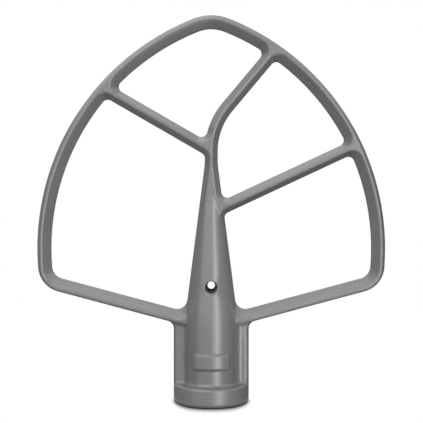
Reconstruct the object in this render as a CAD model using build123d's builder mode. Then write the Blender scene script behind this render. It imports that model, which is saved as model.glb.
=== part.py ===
from build123d import *
from math import cos, radians, sqrt, tan
import os

# Flat beater of a stand mixer, one die cast and coated piece, in millimetres.
# It stands on its collar: Z runs up the hub's axis, X runs along the flat frame,
# the front faces -Y, and the origin is the centre of the collar's end face.

# Outline of the ring, as seen from the front
overall_width = 136.6
overall_height = 151.5
widest_height = 60.0
apex_radius = 19.4
ring_width = 5.5
ring_corner_radius = 10.5
window_corner_radius = 5.0

# The two lower arms, whose undersides would meet on the axis
arm_slope = 15.0
arm_root_height = 26.9
arm_width = 5.3
arm_underside_draft = 0.7
arm_root_radius = 4.1

# Crossbars and the curved bar, placed where their centre lines meet the axis
bar_width = 5.1
bar_corner_radius = 2.4
left_bar_height = 98.1
left_bar_slope = 30.0
right_bar_height = 73.8
right_bar_slope = 25.0
bend_radius = 26.9
bend_slope = 50.0

# Section of the frame, from the straight rim on the parting plane to the ridge
frame_thickness = 8.2
rim_band = 1.0
ridge_land = 1.0
ring_outer_draft = 1.35
ridge_rounding = 0.7
rim_rounding = 1.0

# Collar, barrel and the post that tapers up to the left crossbar
collar_radius = 14.7
collar_height = 7.2
collar_foot_rounding = 1.2
collar_edge_rounding = 0.8
ledge_fillet = 1.2
barrel_radius = 10.4
barrel_top = 32.0
barrel_blend_radius = 60.0
neck_length = 5.0
post_blend_radius = 12.0

# Webs that stand out from the barrel's sides, flush with the collar
web_thickness = 4.8
web_edge_rounding = 1.6
web_corner_radius = 3.0
web_fillet = 2.6

# Raised pad on the front of the barrel
pad_width = 14.0
pad_height = 6.1
pad_bottom = 13.7
pad_rise = 0.85
pad_edge_rounding = 0.75

# Socket for the mixer's shaft, with slots and a turning groove for its cross pin
bore_diameter = 13.0
bore_depth = 41.0
bore_mouth_chamfer = 0.6
drill_point = 118.0
pin_slot_width = 4.8
pin_slot_reach = 9.3
slot_corner_radius = 0.8
lock_height = 13.4
lock_clearance = 5.0
lock_turn = 60.0

# Vent hole across the post, narrowest on the parting plane
vent_height = 45.5
vent_mouth = 5.0
vent_waist = 2.9

# How close two positions count as the same, how far hidden surfaces sink into
# their neighbour, and the turns in degrees that tell a bend from a corner
close_enough = 0.001
seam_sink = 0.06
bend_turn = 3.0
corner_turn = 10.0

# Derived sizes
half_width = overall_width / 2
half_thickness = frame_thickness / 2
apex_rise = overall_height - widest_height
side_radius = (half_width**2 + apex_rise**2 - 2 * apex_rise * apex_radius) / (
    overall_width - 2 * apex_radius
)
side_centre = side_radius - half_width
arm_rise = tan(radians(arm_slope))
ring_inner_draft = ring_width - ridge_land - ring_outer_draft
crest_corner = ring_corner_radius - ring_outer_draft
crest_window_corner = crest_corner - ridge_land
bar_draft = (bar_width - ridge_land) / 2
arm_draft = arm_width - arm_underside_draft - ridge_land
post_top = left_bar_height - neck_length
post_taper = (barrel_radius - bar_width / 2) / (post_top - barrel_top)
bore_radius = bore_diameter / 2
reach = overall_width + overall_height


def ring_outline(plane, side_inset, arm_inset, corner_radius):
    """Leaf shape of the ring's outer edge, moved inwards on its sides and arms."""
    radius = side_radius - side_inset
    apex = widest_height + sqrt(radius**2 - side_centre**2)
    foot = arm_root_height + arm_inset / cos(radians(arm_slope))
    square = 1 + arm_rise**2
    linear = side_centre + arm_rise * (foot - widest_height)
    constant = side_centre**2 + (foot - widest_height) ** 2 - radius**2
    corner = (-linear + sqrt(linear**2 - square * constant)) / square
    with BuildSketch(plane) as outline:
        with BuildLine():
            Line((0, foot), (corner, foot + arm_rise * corner))
            RadiusArc((corner, foot + arm_rise * corner), (0, apex), -radius)
            mirror(about=Plane.YZ)
        make_face()
        fillet(outline.vertices().sort_by(Axis.Y)[-1], apex_radius - side_inset)
        fillet(outline.vertices().sort_by(Axis.X)[0], corner_radius)
        fillet(outline.vertices().sort_by(Axis.X)[-1], corner_radius)
        fillet(outline.vertices().sort_by(Axis.Y)[0], corner_radius)
    return outline


def turning(sketch, least, most):
    """Vertices where the outline turns by an angle between the two limits."""
    found = ShapeList()
    for vertex in sketch.vertices():
        point = vertex.center()
        leaving = [edge % 0 for edge in sketch.edges() if (edge @ 0 - point).length < close_enough]
        arriving = [edge % 1 for edge in sketch.edges() if (edge @ 1 - point).length < close_enough]
        first, second = leaving + arriving
        turn = first.get_angle(second)
        if least < min(turn, 180 - turn) < most:
            found.append(vertex)
    return found


def bar_outlines(plane, width, foot_half):
    """Post, crossbars and curved bar with plain ends that run past the ring."""
    with BuildSketch(plane) as bars:
        with Locations(Location((0, left_bar_height), 180 - left_bar_slope)):
            Rectangle(reach, width, align=(Align.MIN, Align.CENTER))
        with Locations(Location((0, right_bar_height), right_bar_slope)):
            Rectangle(reach, width, align=(Align.MIN, Align.CENTER))
        with BuildLine():
            bend = JernArc((0, left_bar_height), (0, 1), bend_radius, bend_slope - 90)
            Line(bend @ 1, bend @ 1 + reach * (bend % 1))
        trace(line_width=width)
        with BuildLine():
            Polyline((0, 0), (foot_half, 0), (width / 2, post_top))
            Polyline((width / 2, post_top), (width / 2, left_bar_height), (0, left_bar_height))
            mirror(about=Plane.YZ)
        make_face()
    return bars


def window_outlines(plane, draft_share):
    """The four windows at one depth, their walls moved outwards by a share of the draft."""
    draft = bar_draft * draft_share
    inside = ring_outline(
        plane,
        ring_width - ring_inner_draft * draft_share,
        arm_width - arm_draft * draft_share,
        window_corner_radius + (crest_window_corner - window_corner_radius) * draft_share,
    )
    post_foot = barrel_radius + barrel_top * post_taper - seam_sink
    bars = bar_outlines(plane, bar_width - 2 * draft, post_foot - draft)
    with BuildSketch(plane) as windows:
        add(inside.sketch_local)
        add(bars.sketch_local, mode=Mode.SUBTRACT)
        fillet(turning(windows, bend_turn, corner_turn), post_blend_radius)
        fillet(turning(windows, corner_turn, 180).sort_by(Axis.Y)[:2], arm_root_radius + draft)
        fillet(turning(windows, corner_turn, 180), bar_corner_radius + draft)
    return windows


def frame_body():
    """Ring, arms and bars, their walls drafted from the parting plane to front and back."""
    step = Plane.XZ.offset(rim_band / 2)
    face = Plane.XZ.offset(half_thickness)
    rim = ring_outline(step, 0, 0, ring_corner_radius)
    crest = ring_outline(face, ring_outer_draft, arm_underside_draft, crest_corner)
    rim_windows = window_outlines(step, 0)
    crest_windows = window_outlines(face, 1)
    with BuildSketch(step) as rim_face:
        add(rim.sketch_local)
        add(rim_windows.sketch_local, mode=Mode.SUBTRACT)
    near = rim_windows.sketch.faces().sort_by(Axis.X)
    far = crest_windows.sketch.faces().sort_by(Axis.X)
    with BuildPart() as frame:
        loft([rim.sketch.face(), crest.sketch.face()], ruled=True)
        for window in range(len(near)):
            loft([near[window], far[window]], ruled=True, mode=Mode.SUBTRACT)
        mirror(about=Plane.XZ)
        extrude(rim_face.sketch, amount=-rim_band)
        lands = frame.faces().filter_by(Axis.Y).group_by(Axis.Y)
        fillet(lands[0].edges() + lands[-1].edges(), ridge_rounding)
        fillet(frame.edges().filter_by(lies_on_rim), rim_rounding)
    return frame


def lies_on_rim(edge):
    """True for the edges between the rim's straight band and the drafted walls."""
    ends = [edge @ 0, edge @ 0.5, edge @ 1]
    return all(abs(abs(end.Y) - rim_band / 2) < close_enough for end in ends)


def hub_body():
    """Collar, barrel and tapering post, turned about the hub's axis."""
    tip_radius = barrel_radius - (left_bar_height - barrel_top) * post_taper
    with BuildPart() as hub:
        with BuildSketch(Plane.XZ) as profile:
            with BuildLine():
                Polyline(
                    (0, 0),
                    (collar_radius, 0),
                    (collar_radius, collar_height),
                    (barrel_radius, collar_height),
                    (barrel_radius, barrel_top),
                    (tip_radius, left_bar_height),
                    (0, left_bar_height),
                    close=True,
                )
            make_face()
            fillet(profile.vertices().group_by(Axis.X)[-1].sort_by(Axis.Y)[0], collar_foot_rounding)
            fillet(profile.vertices().group_by(Axis.X)[-1].sort_by(Axis.Y)[-1], collar_edge_rounding)
            shoulder = profile.vertices().filter_by_position(Axis.Y, barrel_top, barrel_top)
            fillet(shoulder, barrel_blend_radius)
        revolve(axis=Axis.Z)
    return hub


def side_webs():
    """Webs that carry the arms down the barrel's sides to the collar."""
    run_out = collar_radius + web_corner_radius
    root = arm_root_height + seam_sink
    with BuildPart() as webs:
        with BuildSketch(Plane.XZ) as profile:
            with BuildLine():
                Polyline(
                    (0, collar_height / 2),
                    (collar_radius, collar_height / 2),
                    (collar_radius, root + arm_rise * collar_radius),
                    (run_out, root + arm_rise * run_out),
                    (run_out, root + arm_rise * run_out + arm_width / 2),
                    (0, root),
                    close=True,
                )
            make_face()
            fillet(profile.vertices().group_by(Axis.X)[1].sort_by(Axis.Y)[-1], web_corner_radius)
            mirror(about=Plane.YZ)
        extrude(amount=web_thickness / 2, both=True)
        upright = webs.edges().filter_by(Axis.Z).filter_by(lies_flush)
        fillet(upright + webs.edges().filter_by(GeomType.CIRCLE), web_edge_rounding)
    return webs


def lies_flush(edge):
    """True for an upright edge that stands as far out as the collar."""
    return abs(abs(edge.center().X) - collar_radius) < close_enough


def stem_body():
    """Hub and webs as one, with the fillets that run down the barrel and round its foot."""
    hub = hub_body()
    webs = side_webs()
    with BuildPart() as stem:
        add(hub.part)
        add(webs.part)
        fillet(stem.edges().filter_by(Axis.Z).filter_by(meets_barrel), web_fillet)
        fillet(stem.edges().filter_by(lies_in_ledge), ledge_fillet)
    return stem


def meets_barrel(edge):
    """True for the corners between the webs' faces and the barrel."""
    middle = edge @ 0.5
    on_face = abs(abs(middle.Y) - web_thickness / 2) < close_enough
    return on_face and abs(middle.X) < barrel_radius


def lies_in_ledge(edge):
    """True for the edges where the barrel and the webs rise from the collar's ledge."""
    level = all(abs((edge @ share).Z - collar_height) < close_enough for share in (0, 0.5, 1))
    middle = edge @ 0.5
    inside = sqrt(middle.X**2 + middle.Y**2) < collar_radius - collar_edge_rounding - close_enough
    return level and inside


def raised_pad():
    """Bare raised pad on the front of the barrel, following its curve."""
    with BuildPart() as pad:
        with Locations((0, 0, pad_bottom)):
            Cylinder(barrel_radius + pad_rise, pad_height, align=(Align.CENTER, Align.CENTER, Align.MIN))
        with BuildSketch(Plane.XZ):
            with Locations((0, pad_bottom)):
                Rectangle(pad_width, pad_height, align=(Align.CENTER, Align.MIN))
        extrude(amount=2 * barrel_radius, mode=Mode.INTERSECT)
        fillet(pad.faces().filter_by(GeomType.CYLINDER).edges(), pad_edge_rounding)
    return pad


def shaft_socket():
    """Bore for the shaft, slots for its cross pin and the groove in which the pin turns."""
    lock_top = lock_height + lock_clearance
    with BuildPart() as socket:
        with BuildSketch(Plane.XZ):
            with BuildLine():
                Polyline(
                    (0, 0),
                    (bore_radius + bore_mouth_chamfer, 0),
                    (bore_radius, bore_mouth_chamfer),
                    (bore_radius, bore_depth),
                    (0, bore_depth + bore_radius / tan(radians(drill_point / 2))),
                    close=True,
                )
            make_face()
        revolve(axis=Axis.Z)
        with BuildSketch():
            RectangleRounded(2 * pin_slot_reach, pin_slot_width, slot_corner_radius)
        extrude(amount=lock_top)
        with BuildSketch(Plane.XY.offset(lock_height)):
            with BuildLine():
                Line((0, 0), (pin_slot_reach, 0))
                swept = CenterArc((0, 0), pin_slot_reach, 0, lock_turn)
                Line(swept @ 1, (0, 0))
            sector = make_face()
            add(sector.rotate(Axis.Z, 180))
            with Locations(Location((0, 0), lock_turn)):
                RectangleRounded(2 * pin_slot_reach, pin_slot_width, slot_corner_radius)
        extrude(amount=lock_clearance)
    return socket


def vent_hole():
    """Cross hole through the post, drafted from a narrow waist to both mouths."""
    surface = barrel_radius - (vent_height - barrel_top) * post_taper
    draft = (vent_mouth - vent_waist) / 2 / surface
    with BuildPart() as vent:
        with BuildSketch(Plane.XZ) as waist:
            with Locations((0, vent_height)):
                Circle(vent_waist / 2)
        with BuildSketch(Plane.XZ.offset(barrel_radius)) as mouth:
            with Locations((0, vent_height)):
                Circle(vent_waist / 2 + draft * barrel_radius)
        loft([waist.sketch.face(), mouth.sketch.face()])
        mirror(about=Plane.XZ)
    return vent


frame = frame_body()
stem = stem_body()
pad = raised_pad()
socket = shaft_socket()
vent = vent_hole()

with BuildPart() as flat_beater:
    add(frame.part)
    add(stem.part)
    add(pad.part)
    add(socket.part, mode=Mode.SUBTRACT)
    add(vent.part, mode=Mode.SUBTRACT)

os.makedirs("parts", exist_ok=True)
flat_beater.part.label = "flat_beater"
export_step(flat_beater.part, "parts/flat_beater.step")
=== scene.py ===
from math import cos, radians, sin, tan, tau

import bpy
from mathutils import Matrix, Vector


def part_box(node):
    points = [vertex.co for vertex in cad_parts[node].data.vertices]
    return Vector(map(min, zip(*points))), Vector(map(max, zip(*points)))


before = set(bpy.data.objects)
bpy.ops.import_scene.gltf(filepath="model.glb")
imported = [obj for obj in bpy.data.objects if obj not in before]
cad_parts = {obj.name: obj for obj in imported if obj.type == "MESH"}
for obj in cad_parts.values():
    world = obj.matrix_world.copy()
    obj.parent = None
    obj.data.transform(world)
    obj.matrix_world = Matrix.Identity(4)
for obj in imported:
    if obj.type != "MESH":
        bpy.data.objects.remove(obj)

bl_info = {
    "name": "Flat Beater Finish",
    "version": (1, 0, 0),
    "blender": (4, 5, 0),
    "location": "3D View > Sidebar > Beater",
    "description": "Dresses the cast flat beater in its satin coat and sets it on a studio floor",
    "category": "Object",
}

CASTING = "flat_beater"
FINISH = "coated_casting"
LOW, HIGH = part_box(CASTING)
CENTRE = (LOW + HIGH) / 2
WHITE = (1.0, 1.0, 1.0, 1.0)

# All lengths are in metres. First, where the casting's features are: the cross hole, the
# bore's inner end, the collar's top, and the stretch of the hub where the arms run into it
VENT_HEIGHT = 0.0455
VENT_RADIUS = 0.0025
BORE_END = 0.0405
COLLAR_TOP = 0.0072
ROOT_REACH = 0.019
ROOT_LOW = 0.022
ROOT_HIGH = 0.046

# The straight members that carry faint drawn lines: name, the side of the hub that they
# stand on (0 for both), slope, height where their middle line meets the hub's axis, half of
# their width and how far from the axis the lines begin
MEMBERS = (
    ("arms", 0, tan(radians(15)), 0.0297, 0.0036, 0.013),
    ("left_bar", -1, tan(radians(30)), 0.0981, 0.003, 0.002),
    ("right_bar", 1, tan(radians(25)), 0.0738, 0.003, 0.005),
)

# Lengths over which the masks fade out at their edges, the last one as a share of a
# member's half width
BORE_FADE = 0.0003
BORE_END_FADE = 0.0005
VENT_FADE = 0.0002
COLLAR_FADE = 0.0004
ROOT_FADE = 0.004
MEMBER_FADE = 0.3

# The coat: the size of its patches, the drawn lines' width and that width as a share of
# their length, the fine grain's size and height as shares of the coarse grain's, and the
# noise values between which patches and lines, and specks, come in
PATCH_SIZE = 0.018
STREAK_WIDTH = 0.0009
STREAK_STRETCH = 0.05
FINE_SIZE = 0.22
FINE_SHARE = 0.3
NOISE_STEP = (0.3, 0.7)
SPECK_STEP = (0.35, 0.68)

# Its darkest and palest shade in patches and in lines, beside the plain coat, and how far
# its roughness strays from the plain coat's
PATCH_SHADES = (0.97, 1.04)
STREAK_SHADES = (0.92, 1.1)
ROUGHNESS_SPREAD = (-0.02, 0.025)

# How far the shading rounds an edge: anywhere, on the arms and at their roots
SOFT_EDGE = 0.0006
SOFT_ARM_EDGE = 0.0016
SOFT_ROOT = 0.0018

# The height of the rings in the turned bore, and the cross hole's wall: its grey, a painted shade
# for the shade inside the hole, and its roughness
RING_HEIGHT = 0.000012
VENT_PAINTED_SHADE_GREY = 0.1
VENT_ROUGHNESS = 0.9

# The contact shadow is shorter and weaker at the collar's two sides: between which distances
# from the middle it changes, and its reach and depth there as shares of those in front.
# SHADOW_GAIN is the open floor's brightness before it is cut off at 1, which is white, so
# the shadow shows only where it is deep
SHADOW_TURNS = (0.007, 0.0165)
SIDE_REACH = 0.14
SIDE_DEPTH = 0.4
SHADOW_GAIN = 2.0

# The shaded floor under the collar: its grey, and its depth below the foot
SHADE_GREY = 0.3
SHADE_DROP = 0.0001

# The smallest step between a sheet's points, in degrees, and the back fill's distance as a
# share of the tent's
SHEET_STEP = 10
FILL_NEARNESS = 0.95

# The tent of bright and dark sheets round the beater, which light it and show in its coat,
# one row for each: its name, its lowest and highest elevation and its first and last bearing
# in degrees (0 in front, 90 to the right), and its brightness, where 1 is as bright as white
# paper and 0 a black flag
TENT = (
    ("roof", 50, 90, -180, 180, 1.62),
    ("high_front_left", 18, 50, -60, 0, 2.65),
    ("high_left", 18, 50, -120, -60, 0.86),
    ("high_back_left", 18, 50, -180, -120, 0.76),
    ("high_front_right", 18, 50, 0, 60, 0.45),
    ("high_right", 18, 50, 60, 120, 1.19),
    ("high_back_right", 18, 50, 120, 180, 0.43),
    ("low_front_left", -18, 0, -60, 0, 0.92),
    ("front_left", 0, 18, -60, 0, 1.4),
    ("front", -18, 18, 0, 10, 1.4),
    ("strip_left", -18, 18, 10, 20, 3.0),
    ("strip", -18, 18, 20, 30, 4.8),
    ("strip_right", -18, 18, 30, 40, 2.9),
    ("strip_edge", -18, 18, 40, 50, 1.3),
    ("front_right", -18, 18, 50, 80, 0.43),
    ("flag_right", -18, 18, 80, 150, 0.03),
    ("flag_left", -18, 18, -150, -60, 0.19),
    ("back", -18, 18, 150, 210, 0.11),
    ("under_front", -50, -18, -90, 30, 0.0),
    ("under_right", -50, -18, 30, 120, 0.54),
    ("under_back", -50, -18, 120, 180, 0.05),
    ("under_left", -50, -18, -180, -90, 0.26),
    ("ground_left", -90, -50, -90, 0, 0.43),
    ("ground_right", -90, -50, 0, 90, 1.51),
    ("ground_back", -90, -50, 90, 270, 0.0),
)

# One more sheet behind the beater, which lights it from there but doesn't show in its coat
BACK_FILL = ("back_fill", -18, 50, 120, 240, 1.4)


class CoatSettings(bpy.types.PropertyGroup):
    """The satin coat on the casting."""

    colour: bpy.props.FloatVectorProperty(
        name="Coat colour",
        description="Plain grey of the coat",
        default=(0.15, 0.15, 0.15),
        size=3,
        min=0.0,
        max=1.0,
        subtype="COLOR",
    )
    mirror_index: bpy.props.FloatProperty(
        name="Mirror index",
        description="Refractive index of the coat, which sets how much it mirrors",
        default=1.7,
        min=1.0,
        max=3.0,
    )
    roughness: bpy.props.FloatProperty(
        name="Roughness",
        description="Roughness of the satin coat",
        default=0.22,
        min=0.0,
        max=1.0,
        subtype="FACTOR",
    )
    grain_size: bpy.props.FloatProperty(
        name="Grain size",
        description="Size of the soft ripple that the casting's skin leaves in the coat",
        default=0.0011,
        min=0.0001,
        max=0.01,
        unit="LENGTH",
    )
    grain_depth: bpy.props.FloatProperty(
        name="Grain depth",
        description="Height of that ripple",
        default=0.000006,
        min=0.0,
        max=0.0005,
        precision=6,
        unit="LENGTH",
    )


class BoreSettings(bpy.types.PropertyGroup):
    """The bare machined metal inside the socket."""

    colour: bpy.props.FloatVectorProperty(
        name="Bare metal colour",
        description="Colour of the aluminium where the bore is turned",
        default=(0.56, 0.55, 0.54),
        size=3,
        min=0.0,
        max=1.0,
        subtype="COLOR",
    )
    roughness: bpy.props.FloatProperty(
        name="Roughness",
        description="Roughness of the turned metal",
        default=0.36,
        min=0.0,
        max=1.0,
        subtype="FACTOR",
    )
    radius: bpy.props.FloatProperty(
        name="Turned radius",
        description="How far from the hub's axis the turned metal reaches",
        default=0.0068,
        min=0.001,
        max=0.02,
        unit="LENGTH",
    )
    pitch: bpy.props.FloatProperty(
        name="Tool pitch",
        description="Distance between the fine rings that the boring tool leaves",
        default=0.00035,
        min=0.0001,
        max=0.002,
        precision=5,
        unit="LENGTH",
    )


class StageSettings(bpy.types.PropertyGroup):
    """Floor, tent and camera."""

    floor_size: bpy.props.FloatProperty(
        name="Floor size",
        description="Length of each side of the floor",
        default=6.0,
        min=0.5,
        unit="LENGTH",
    )
    floor_colour: bpy.props.FloatVectorProperty(
        name="Floor colour",
        description="Colour of the pale floor, as the camera sees it away from the shadow",
        default=(1.0, 1.0, 1.0),
        size=3,
        min=0.0,
        max=1.0,
        subtype="COLOR",
    )
    shadow_reach: bpy.props.FloatProperty(
        name="Shadow reach",
        description="How far in front of the collar its contact shadow spreads",
        default=0.02,
        min=0.001,
        unit="LENGTH",
    )
    shadow_depth: bpy.props.FloatProperty(
        name="Shadow depth",
        description="How strongly the floor darkens where the beater hides the light",
        default=4.8,
        min=0.0,
        max=8.0,
    )
    shade_inner: bpy.props.FloatProperty(
        name="Shade's inner radius",
        description="Inner radius of the floor in the collar's own shade",
        default=0.0115,
        min=0.0,
        unit="LENGTH",
    )
    shade_radius: bpy.props.FloatProperty(
        name="Shade radius",
        description="Radius of the floor in the collar's own shade, which darkens the collar's foot",
        default=0.02,
        min=0.0,
        unit="LENGTH",
    )
    tent_radius: bpy.props.FloatProperty(
        name="Tent radius",
        description="Distance of the tent's sheets from the beater",
        default=1.5,
        min=0.5,
        unit="LENGTH",
    )
    tent_light: bpy.props.FloatProperty(
        name="Tent light",
        description="Brightness of all the sheets together",
        default=1.0,
        min=0.0,
        max=3.0,
    )
    camera_distance: bpy.props.FloatProperty(
        name="Camera distance",
        description="Distance from the lens to the hub's axis",
        default=0.45,
        min=0.1,
        unit="LENGTH",
    )
    camera_height: bpy.props.FloatProperty(
        name="Camera height",
        description="Height of the lens above the floor",
        default=0.097,
        min=0.0,
        unit="LENGTH",
    )
    view_width: bpy.props.FloatProperty(
        name="View width",
        description="Width that the picture spans at the hub's axis",
        default=0.16624,
        min=0.05,
        unit="LENGTH",
    )
    view_middle: bpy.props.FloatProperty(
        name="View middle",
        description="Height that the picture's middle shows at the hub's axis",
        default=0.0744,
        unit="LENGTH",
    )
    view_side: bpy.props.FloatProperty(
        name="View side shift",
        description="How far the picture's middle lies to the right of the hub's axis",
        default=0.0001,
        precision=5,
        unit="LENGTH",
    )


def feed(tree, socket, source):
    """Link a socket to another one, or give it a plain value."""
    if isinstance(source, bpy.types.NodeSocket):
        tree.links.new(source, socket)
    else:
        socket.default_value = source


def maths(tree, operation, *values):
    """Math node fed by sockets or plain numbers, as its result socket."""
    node = tree.nodes.new("ShaderNodeMath")
    node.operation = operation
    for socket, value in zip(node.inputs, values):
        feed(tree, socket, value)
    return node.outputs[0]


def distance(tree, first, second):
    """Distance from the origin of the point with these two coordinates."""
    squares = [maths(tree, "POWER", part, 2.0) for part in (first, second)]
    return maths(tree, "SQRT", maths(tree, "ADD", *squares))


def step_between(tree, value, zero_at, one_at):
    """Smooth step from 0 to 1 between two values, of which either may be the lower."""
    node = tree.nodes.new("ShaderNodeMapRange")
    node.interpolation_type = "SMOOTHSTEP"
    for name, source in (("Value", value), ("From Min", zero_at), ("From Max", one_at)):
        feed(tree, node.inputs[name], source)
    return node.outputs["Result"]


def mixed(tree, kind, share, first, second):
    """Mix of two numbers, for the kind Float, or of two colours, for the kind Color."""
    node = tree.nodes.new("ShaderNodeMix")
    node.data_type = "FLOAT" if kind == "Float" else "RGBA"
    inputs = {socket.identifier: socket for socket in node.inputs}
    for name, source in (("Factor_Float", share), ("A_" + kind, first), ("B_" + kind, second)):
        feed(tree, inputs[name], source)
    return next(socket for socket in node.outputs if socket.identifier == "Result_" + kind)


def noise(tree, place, size, detail, roughness=0.5):
    """Noise of one feature size in metres, as its factor socket."""
    node = tree.nodes.new("ShaderNodeTexNoise")
    node.inputs["Detail"].default_value = detail
    node.inputs["Roughness"].default_value = roughness
    tree.links.new(place, node.inputs["Vector"])
    tree.links.new(maths(tree, "DIVIDE", 1.0, size), node.inputs["Scale"])
    return node.outputs["Fac"]


def object_place(tree):
    """Position on the object, in metres."""
    return tree.nodes.new("ShaderNodeTexCoord").outputs["Object"]


def place_parts(tree):
    """The X, Y and Z of the position on the object, in metres."""
    node = tree.nodes.new("ShaderNodeSeparateXYZ")
    tree.links.new(object_place(tree), node.inputs[0])
    return tuple(node.outputs)


def made_group(name, inputs, outputs):
    """New shader node group of number sockets, with what goes in and what comes out of it."""
    group = bpy.data.node_groups.new(name, "ShaderNodeTree")
    for labels, direction in ((inputs, "INPUT"), (outputs, "OUTPUT")):
        for label in labels:
            group.interface.new_socket(name=label, in_out=direction, socket_type="NodeSocketFloat")
    start = group.nodes.new("NodeGroupInput")
    end = group.nodes.new("NodeGroupOutput")
    return group, start.outputs, end.inputs


def placed_group(tree, group, **values):
    """A group in a material, with this material's own numbers on its inputs."""
    node = tree.nodes.new("ShaderNodeGroup")
    node.node_tree = group
    for name, value in values.items():
        node.inputs[name].default_value = value
    return node.outputs


def cast_skin_group():
    """Soft ripple and fine speckle of a coated casting."""
    group, start, end = made_group("cast_skin", ("Size", "Depth"), ("Height", "Speckle"))
    place = object_place(group)
    ripple = noise(group, place, start["Size"], detail=2.0)
    fine_size = maths(group, "MULTIPLY", start["Size"], FINE_SIZE)
    fine = noise(group, place, fine_size, detail=3.0, roughness=0.6)
    total = maths(group, "ADD", ripple, maths(group, "MULTIPLY", fine, FINE_SHARE))
    group.links.new(maths(group, "MULTIPLY", total, start["Depth"]), end["Height"])
    group.links.new(fine, end["Speckle"])
    return group


def patch_group():
    """Broad uneven patches, from 0 to 1, that keep a plain coat from looking flat."""
    group, start, end = made_group("broad_patches", ("Size",), ("Patch",))
    patches = noise(group, object_place(group), start["Size"], detail=4.0, roughness=0.55)
    group.links.new(step_between(group, patches, *NOISE_STEP), end["Patch"])
    return group


def bore_group():
    """Mask of the turned bore, and the fine rings in it."""
    group, start, end = made_group("turned_bore", ("Radius", "Depth", "Pitch"), ("Mask", "Rings"))
    x, y, z = place_parts(group)
    outer = maths(group, "ADD", start["Radius"], BORE_FADE)
    inside = step_between(group, distance(group, x, y), outer, start["Radius"])
    above = maths(group, "ADD", start["Depth"], BORE_END_FADE)
    below = step_between(group, z, above, start["Depth"])
    group.links.new(maths(group, "MULTIPLY", inside, below), end["Mask"])
    turns = maths(group, "DIVIDE", z, start["Pitch"])
    group.links.new(maths(group, "SINE", maths(group, "MULTIPLY", turns, tau)), end["Rings"])
    return group


def vent_group():
    """Mask of the cross hole's wall, where shade is painted and the coat is made rough."""
    group, start, end = made_group("vent_wall", ("Height", "Radius"), ("Mask",))
    x, _, z = place_parts(group)
    off_axis = distance(group, x, maths(group, "SUBTRACT", z, start["Height"]))
    inner = maths(group, "SUBTRACT", start["Radius"], VENT_FADE)
    group.links.new(step_between(group, off_axis, start["Radius"], inner), end["Mask"])
    return group


def root_group():
    """Mask of the stretch of the hub where the arms and webs run into it."""
    group, start, end = made_group("arm_roots", ("Reach", "Low", "High"), ("Mask",))
    x, _, z = place_parts(group)
    outer = maths(group, "ADD", start["Reach"], ROOT_FADE)
    near = step_between(group, maths(group, "ABSOLUTE", x), outer, start["Reach"])
    over = step_between(group, z, start["Low"], maths(group, "ADD", start["Low"], ROOT_FADE))
    below = step_between(group, z, start["High"], maths(group, "SUBTRACT", start["High"], ROOT_FADE))
    between = maths(group, "MULTIPLY", over, below)
    group.links.new(maths(group, "MULTIPLY", near, between), end["Mask"])
    return group


def drawn_member(group, x, z, side, slope, height, half_width, clear_of_hub):
    """How high a point is over one straight member's rising line, and the member's mask."""
    out = maths(group, "MULTIPLY", x, side) if side else maths(group, "ABSOLUTE", x)
    rise = maths(group, "SUBTRACT", z, maths(group, "MULTIPLY", out, slope))
    off_line = maths(group, "ABSOLUTE", maths(group, "SUBTRACT", rise, height))
    near = step_between(group, off_line, (1 + MEMBER_FADE) * half_width, half_width)
    past_hub = step_between(group, out, clear_of_hub, clear_of_hub + ROOT_FADE)
    return rise, maths(group, "MULTIPLY", near, past_hub)


def streak_group():
    """Faint lines drawn along the straight members and round the collar, and their masks."""
    group, start, end = made_group("drawn_streaks", ("Width", "Collar"), ("Streak", "Mask", "Arm"))
    x, y, z = place_parts(group)
    mask = step_between(group, z, maths(group, "ADD", start["Collar"], COLLAR_FADE), start["Collar"])
    across = z
    for name, *member in MEMBERS:
        rise, on_member = drawn_member(group, x, z, *member)
        across = mixed(group, "Float", on_member, across, rise)
        mask = maths(group, "MAXIMUM", mask, on_member)
        if name == "arms":
            group.links.new(on_member, end["Arm"])
    place = group.nodes.new("ShaderNodeCombineXYZ")
    for part, socket in ((x, "X"), (y, "Y")):
        group.links.new(maths(group, "MULTIPLY", part, STREAK_STRETCH), place.inputs[socket])
    group.links.new(across, place.inputs["Z"])
    lines = noise(group, place.outputs[0], start["Width"], detail=2.0, roughness=0.6)
    group.links.new(step_between(group, lines, *NOISE_STEP), end["Streak"])
    group.links.new(mask, end["Mask"])
    return group


def shaded(colour, shares):
    """The same colour darker or paler by each of the shares."""
    return [(*[share * part for part in colour], 1.0) for share in shares]


def coat_colour(tree, coat, bore, skin, patch, drawn, turned, vent):
    """Uneven grey with specks and lines, bare metal in the bore and painted shade on the cross
    hole's wall.
    """
    dark, pale = shaded(coat.colour, PATCH_SHADES)
    patched = mixed(tree, "Color", patch["Patch"], dark, pale)
    specks = step_between(tree, skin["Speckle"], *SPECK_STEP)
    flecked = mixed(tree, "Color", specks, patched, pale)
    lines = mixed(tree, "Color", drawn["Streak"], *shaded(coat.colour, STREAK_SHADES))
    streaked = mixed(tree, "Color", drawn["Mask"], flecked, lines)
    worked = mixed(tree, "Color", turned["Mask"], streaked, (*bore.colour, 1.0))
    # Painted shade: the cross hole's wall is coloured dark grey in place of the shade inside the
    # hole
    painted_shade = (VENT_PAINTED_SHADE_GREY, VENT_PAINTED_SHADE_GREY, VENT_PAINTED_SHADE_GREY, 1.0)
    return mixed(tree, "Color", vent["Mask"], worked, painted_shade)


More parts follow.
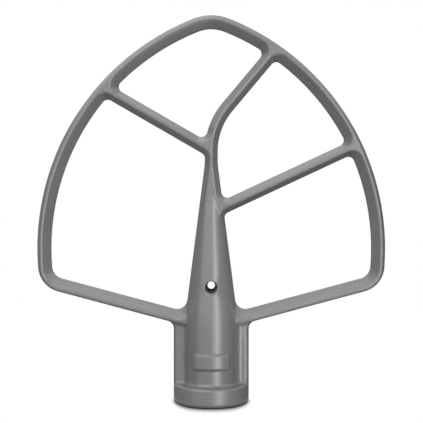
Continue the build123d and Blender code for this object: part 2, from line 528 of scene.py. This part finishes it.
def coat_normal(tree, skin, drawn, turned):
    """Softened edges with the coat's ripple, or the tool's rings in the bore."""
    roots = placed_group(tree, root_group(), Reach=ROOT_REACH, Low=ROOT_LOW, High=ROOT_HIGH)
    soft = tree.nodes.new("ShaderNodeBevel")
    soft.samples = 8
    edge = mixed(tree, "Float", drawn["Arm"], SOFT_EDGE, SOFT_ARM_EDGE)
    tree.links.new(mixed(tree, "Float", roots["Mask"], edge, SOFT_ROOT), soft.inputs["Radius"])
    rings = maths(tree, "MULTIPLY", turned["Rings"], RING_HEIGHT)
    bump = tree.nodes.new("ShaderNodeBump")
    bump.inputs["Distance"].default_value = 1.0
    bump.inputs["Strength"].default_value = 1.0
    height = mixed(tree, "Float", turned["Mask"], skin["Height"], rings)
    tree.links.new(height, bump.inputs["Height"])
    tree.links.new(soft.outputs["Normal"], bump.inputs["Normal"])
    return bump.outputs["Normal"]


def coat_material(coat, bore):
    """Satin coat over the casting, with bare turned metal in the bore and painted shade on the cross
    hole's wall.
    """
    material = bpy.data.materials.new(FINISH)
    material.use_nodes = True
    tree = material.node_tree
    shader = tree.nodes["Principled BSDF"].inputs
    shader["IOR"].default_value = coat.mirror_index
    skin = placed_group(tree, cast_skin_group(), Size=coat.grain_size, Depth=coat.grain_depth)
    patch = placed_group(tree, patch_group(), Size=PATCH_SIZE)
    drawn = placed_group(tree, streak_group(), Width=STREAK_WIDTH, Collar=COLLAR_TOP)
    turned = placed_group(tree, bore_group(), Radius=bore.radius, Depth=BORE_END, Pitch=bore.pitch)
    vent = placed_group(tree, vent_group(), Height=VENT_HEIGHT, Radius=VENT_RADIUS)

    colour = coat_colour(tree, coat, bore, skin, patch, drawn, turned, vent)
    tree.links.new(colour, shader["Base Color"])
    smooth, rough = [coat.roughness + change for change in ROUGHNESS_SPREAD]
    uneven = mixed(tree, "Float", patch["Patch"], smooth, rough)
    worked = mixed(tree, "Float", turned["Mask"], uneven, bore.roughness)
    roughness = mixed(tree, "Float", vent["Mask"], worked, VENT_ROUGHNESS)
    tree.links.new(roughness, shader["Roughness"])
    tree.links.new(turned["Mask"], shader["Metallic"])
    tree.links.new(coat_normal(tree, skin, drawn, turned), shader["Normal"])
    return material


class BEATER_OT_dress_casting(bpy.types.Operator):
    """Give the cast beater its satin coat and its bare turned bore"""

    bl_idname = "beater.dress_casting"
    bl_label = "Dress the casting"

    def execute(self, context):
        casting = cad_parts[CASTING]
        material = coat_material(context.scene.beater_coat, context.scene.beater_bore)
        casting.data.materials.clear()
        casting.data.materials.append(material)
        return {"FINISHED"}


def plain_material(name, grey, glow=WHITE):
    """Matt material of one grey, and of one colour where it glows."""
    material = bpy.data.materials.new(name)
    material.use_nodes = True
    shader = material.node_tree.nodes["Principled BSDF"].inputs
    shader["Base Color"].default_value = (grey, grey, grey, 1.0)
    shader["Roughness"].default_value = 1.0
    shader["Specular IOR Level"].default_value = 0.0
    shader["Emission Color"].default_value = glow
    return material


def new_object(name, corners, faces, material):
    """New mesh object of one material in the scene."""
    mesh = bpy.data.meshes.new(name)
    mesh.from_pydata(corners, [], faces)
    mesh.materials.append(material)
    thing = bpy.data.objects.new(name, mesh)
    bpy.context.scene.collection.objects.link(thing)
    return thing


def tent_sheet(name, low, high, first, last, brightness, radius):
    """Curved sheet of the tent that glows evenly and that the camera doesn't see."""
    across = max(1, (last - first) // SHEET_STEP)
    up = max(1, (high - low) // SHEET_STEP)
    corners, faces = [], []
    for column in range(across + 1):
        bearing = radians(first + (last - first) * column / across)
        for row in range(up + 1):
            lift = radians(low + (high - low) * row / up)
            level = radius * cos(lift)
            height = CENTRE.z + radius * sin(lift)
            corners.append((level * sin(bearing), -level * cos(bearing), height))
    for column in range(across):
        for row in range(up):
            start = column * (up + 1) + row
            faces.append((start, start + 1, start + up + 2, start + up + 1))
    material = plain_material(name, 0.0)
    shader = material.node_tree.nodes["Principled BSDF"].inputs
    shader["Emission Strength"].default_value = brightness
    sheet = new_object(name, corners, faces, material)
    sheet.visible_camera = False
    sheet.visible_shadow = False
    return sheet


def seen_directly(tree):
    """1 for rays from the camera, a mirror or glass, and 0 for the rest."""
    path = tree.nodes.new("ShaderNodeLightPath")
    both = maths(tree, "MAXIMUM", path.outputs["Is Camera Ray"], path.outputs["Is Glossy Ray"])
    return maths(tree, "MAXIMUM", both, path.outputs["Is Transmission Ray"])


def white_room():
    """World that looks white behind the beater and gives no light of its own."""
    world = bpy.data.worlds.new("white_room")
    world.use_nodes = True
    tree = world.node_tree
    background = tree.nodes["Background"]
    background.inputs["Color"].default_value = WHITE
    tree.links.new(seen_directly(tree), background.inputs["Strength"])
    bpy.context.scene.world = world


def contact_shadow(tree, stage):
    """How open the floor is to the light: 1 away from the collar and less close to its foot."""
    crevice = tree.nodes.new("ShaderNodeAmbientOcclusion")
    crevice.samples = 16
    x = place_parts(tree)[0]
    beside = step_between(tree, maths(tree, "ABSOLUTE", x), *SHADOW_TURNS)
    reach = mixed(tree, "Float", beside, stage.shadow_reach, SIDE_REACH * stage.shadow_reach)
    depth = mixed(tree, "Float", beside, stage.shadow_depth, SIDE_DEPTH * stage.shadow_depth)
    tree.links.new(reach, crevice.inputs["Distance"])
    light = maths(tree, "POWER", crevice.outputs["AO"], depth)
    return maths(tree, "MINIMUM", maths(tree, "MULTIPLY", light, SHADOW_GAIN), 1.0)


def pale_floor(stage):
    """Pale floor that keeps the beater's contact shadow and can't be seen from below."""
    material = plain_material("pale_floor", 0.0, (*stage.floor_colour, 1.0))
    tree = material.node_tree
    shader = tree.nodes["Principled BSDF"].inputs
    glow = maths(tree, "MULTIPLY", seen_directly(tree), contact_shadow(tree, stage))
    tree.links.new(glow, shader["Emission Strength"])
    sides = tree.nodes.new("ShaderNodeNewGeometry")
    tree.links.new(maths(tree, "SUBTRACT", 1.0, sides.outputs["Backfacing"]), shader["Alpha"])
    half = stage.floor_size / 2
    corners = [(-half, -half, 0), (half, -half, 0), (half, half, 0), (-half, half, 0)]
    floor = new_object("floor", corners, [(0, 1, 2, 3)], material)
    floor.location.z = LOW.z
    floor.visible_diffuse = False
    floor.visible_glossy = False
    floor.visible_shadow = False


def foot_shade(stage):
    """Dark ring under the collar, for the shaded floor there, which the camera doesn't see."""
    corners, faces = [], []
    for turn in range(0, 360, SHEET_STEP):
        bearing = radians(turn)
        for radius in (stage.shade_inner, stage.shade_radius):
            corners.append((radius * cos(bearing), radius * sin(bearing), 0))
    for start in range(0, len(corners), 2):
        end = (start + 2) % len(corners)
        faces.append((start, start + 1, end + 1, end))
    ring = new_object("foot_shade", corners, faces, plain_material("foot_shade", SHADE_GREY))
    ring.location.z = LOW.z - SHADE_DROP
    ring.visible_camera = False


def photo_camera(stage):
    """Level camera whose picture spans the given width at the hub's axis."""
    data = bpy.data.cameras.new("camera")
    data.sensor_width = 36.0
    data.lens = data.sensor_width * stage.camera_distance / stage.view_width
    data.shift_x = stage.view_side / stage.view_width
    data.shift_y = (stage.view_middle - stage.camera_height) / stage.view_width
    data.clip_start = 0.01
    data.clip_end = 20.0
    camera = bpy.data.objects.new("camera", data)
    camera.location = (0, -stage.camera_distance, stage.camera_height)
    camera.rotation_euler = (radians(90), 0, 0)
    bpy.context.scene.collection.objects.link(camera)
    bpy.context.scene.camera = camera


class BEATER_OT_build_stage(bpy.types.Operator):
    """Set out the floor, the tent and the camera"""

    bl_idname = "beater.build_stage"
    bl_label = "Build the stage"

    def execute(self, context):
        stage = context.scene.beater_stage
        photo_camera(stage)
        white_room()
        pale_floor(stage)
        foot_shade(stage)
        for *sheet, brightness in TENT:
            tent_sheet(*sheet, brightness * stage.tent_light, stage.tent_radius)
        *sheet, brightness = BACK_FILL
        fill = tent_sheet(*sheet, brightness * stage.tent_light, FILL_NEARNESS * stage.tent_radius)
        fill.visible_glossy = False
        context.scene.view_settings.view_transform = "Standard"
        return {"FINISHED"}


class BEATER_PT_panel(bpy.types.Panel):
    """Settings and steps of the beater's finish"""

    bl_label = "Flat beater"
    bl_idname = "BEATER_PT_panel"
    bl_space_type = "VIEW_3D"
    bl_region_type = "UI"
    bl_category = "Beater"

    def draw(self, context):
        for settings, operator in PANEL_ROWS:
            box = self.layout.box()
            for group in settings:
                owner = getattr(context.scene, group)
                for name in owner.bl_rna.properties.keys():
                    if name not in ("rna_type", "name"):
                        box.prop(owner, name)
            box.operator(operator)


PANEL_ROWS = (
    (("beater_coat", "beater_bore"), "beater.dress_casting"),
    (("beater_stage",), "beater.build_stage"),
)

CLASSES = (
    CoatSettings,
    BoreSettings,
    StageSettings,
    BEATER_OT_dress_casting,
    BEATER_OT_build_stage,
    BEATER_PT_panel,
)


def register():
    for item in CLASSES:
        bpy.utils.register_class(item)
    bpy.types.Scene.beater_coat = bpy.props.PointerProperty(type=CoatSettings)
    bpy.types.Scene.beater_bore = bpy.props.PointerProperty(type=BoreSettings)
    bpy.types.Scene.beater_stage = bpy.props.PointerProperty(type=StageSettings)


def unregister():
    del bpy.types.Scene.beater_stage
    del bpy.types.Scene.beater_bore
    del bpy.types.Scene.beater_coat
    for item in reversed(CLASSES):
        bpy.utils.unregister_class(item)


def main():
    register()
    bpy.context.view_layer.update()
    bpy.ops.beater.dress_casting()
    bpy.ops.beater.build_stage()


if __name__ == "__main__":
    main()
